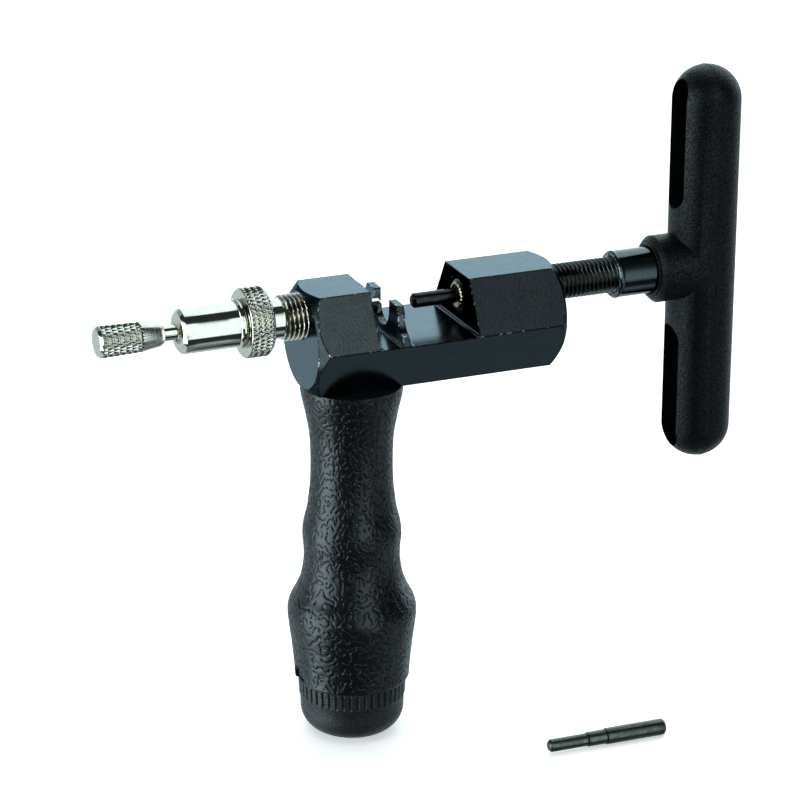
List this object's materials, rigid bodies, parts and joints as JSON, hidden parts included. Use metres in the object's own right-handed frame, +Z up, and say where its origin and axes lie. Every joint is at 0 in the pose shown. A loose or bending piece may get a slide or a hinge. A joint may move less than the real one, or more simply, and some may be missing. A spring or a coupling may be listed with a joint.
{
  "type": "bicycle chain tool",
  "caption": "Hexagonal chain tool: a T-handled screw drives a pin across a pronged chain seat towards a sprung locating rod, on a moulded grip.",
  "frame": {"origin": "where the drive screw's axis meets the middle of the tooth plate, at the centre of the seated chain roller", "axes": "+X along the screw's axis towards the T-handle, +Y across the tool along the chain, +Z up out of the cradle with the grip hanging down -Z"},
  "size_m": [0.1461, 0.0459, 0.1414],
  "materials": {
    "black_oxide_steel": "black oxide, satin with bright nicked edges",
    "black_screw_steel": "black oxide, oiled",
    "gloss_black_steel": "gloss black",
    "hardened_pin_steel": "blackened hardened steel",
    "nickel_plate": "bright nickel plate",
    "brass_bush": "turned",
    "plain_steel": "plain steel",
    "spring_steel": "drawn wire",
    "handle_plastic": "fine moulded texture",
    "grip_plastic": "leather grain",
    "cap_plastic": "ribbed and fine textured"
  },
  "bodies": {
    "frame": {"body": "black_oxide_steel", "grip_core": "plain_steel", "grip_sleeve": "grip_plastic", "grip_bolt": "black_screw_steel", "grip_lock_washer": "plain_steel", "grip_washer": "plain_steel"},
    "push_pin": {"drive_pin": "hardened_pin_steel"},
    "screw": {"drive_screw": "black_screw_steel", "pin_retaining_nut": "brass_bush", "handle_ferrule": "gloss_black_steel", "t_handle": "handle_plastic", "handle_cross_pin": "plain_steel"},
    "spring": {"locating_spring": "spring_steel"},
    "adjuster": {"adjuster_sleeve": "nickel_plate", "spring_barrel": "nickel_plate"},
    "locator": {"locating_rod": "nickel_plate", "rod_clip": "plain_steel", "spring_washer": "plain_steel", "pull_knob": "nickel_plate"},
    "cap": {"end_cap": "cap_plastic"},
    "loose_pin": {"spare_pin": "hardened_pin_steel"}
  },
  "joints": [
    {"name": "drive_feed", "type": "slide", "parent": "frame", "child": "push_pin", "axis": [-1, 0, 0], "range_m": [-0.01, 0.0069]},
    {"name": "handle_turn", "type": "hinge", "parent": "push_pin", "child": "screw", "pos_m": [0, 0, 0], "axis": [-1, 0, 0], "range_deg": [-3610, 2494]},
    {"name": "adjuster_feed", "type": "slide", "parent": "frame", "child": "spring", "axis": [-1, 0, 0], "range_m": [0, 0.006]},
    {"name": "adjuster_turn", "type": "hinge", "parent": "spring", "child": "adjuster", "pos_m": [0, 0, 0], "axis": [-1, 0, 0], "range_deg": [-5, 2170]},
    {"name": "rod_pull", "type": "slide", "parent": "spring", "child": "locator", "axis": [-1, 0, 0], "range_m": [0, 0.006], "stiffness_N_per_m": 400, "springref_m": -0.004, "deforming": ["locating_spring"]},
    {"name": "cap_pull", "type": "slide", "parent": "frame", "child": "cap", "axis": [0, 0, -1], "range_m": [0, 0.012]},
    {"name": "spare_pin_lift", "type": "slide", "parent": "frame", "child": "loose_pin", "axis": [0, 0, 1], "range_m": [0, 0.03]}
  ],
  "couplings": [
    {"joint": "handle_turn", "follows": "drive_feed", "rad_per_m": 6283.2},
    {"joint": "adjuster_turn", "follows": "adjuster_feed", "rad_per_m": 6283.2}
  ]
}
